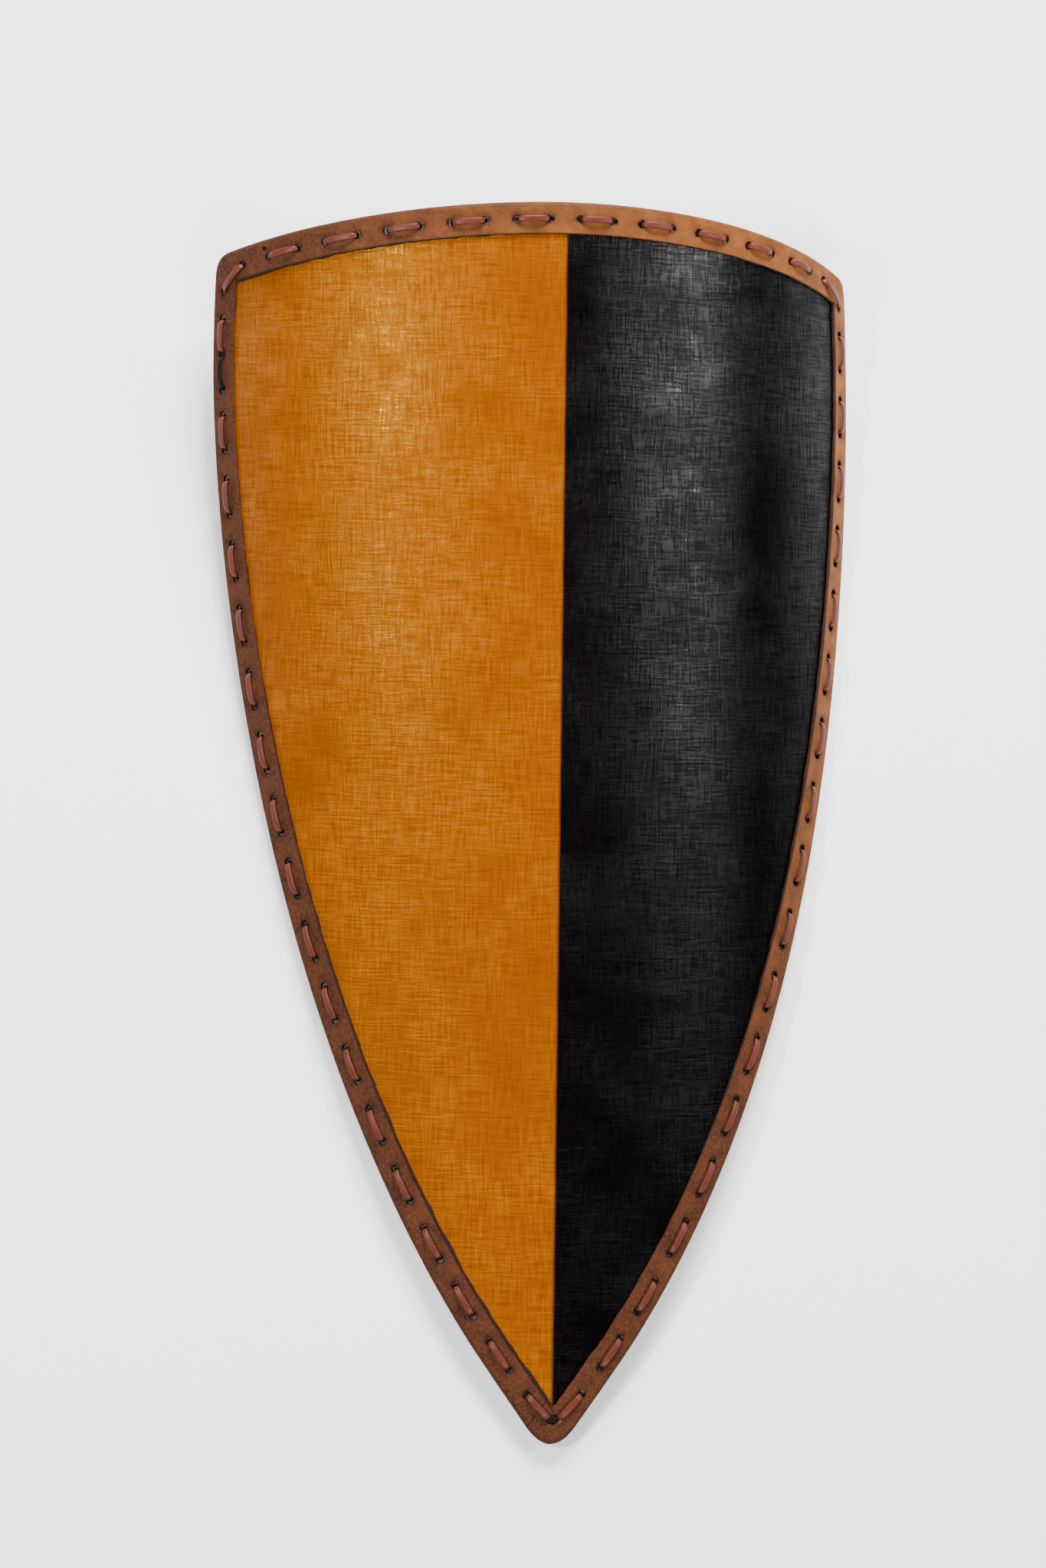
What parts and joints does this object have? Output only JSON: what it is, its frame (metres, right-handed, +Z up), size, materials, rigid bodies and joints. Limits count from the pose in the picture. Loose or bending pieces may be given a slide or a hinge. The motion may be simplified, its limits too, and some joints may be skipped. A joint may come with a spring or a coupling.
{
  "type": "heater shield",
  "caption": "Curved heater shield: plywood board under canvas painted in two halves, leather rim laced with flat thong, leather arm and hand straps behind.",
  "frame": {"origin": "middle of the bounding box, on the surface that the shield lies on", "axes": "+X toward the black half, +Y from the tip toward the top edge, +Z up, out of the painted face as it lies"},
  "size_m": [0.4824, 0.8898, 0.1731],
  "materials": {
    "board_wood": "oiled plywood",
    "painted_canvas": "glued canvas, painted orange and black, satin",
    "edging_leather": "vegetable-tanned, matte",
    "lace_leather": "smooth latigo, satin",
    "strap_leather": "thick harness leather, satin",
    "screw_steel": "dull"
  },
  "bodies": {
    "root": {"shield_board": "board_wood", "canvas_facing": "painted_canvas", "leather_edging": "edging_leather", "main_lace": "lace_leather", "left_lace": "lace_leather", "forearm_strap": "strap_leather", "hand_strap": "strap_leather", "forearm_screw_upper": "screw_steel", "forearm_screw_lower": "screw_steel", "hand_screw_upper": "screw_steel", "hand_screw_lower": "screw_steel"}
  },
  "joints": []
}
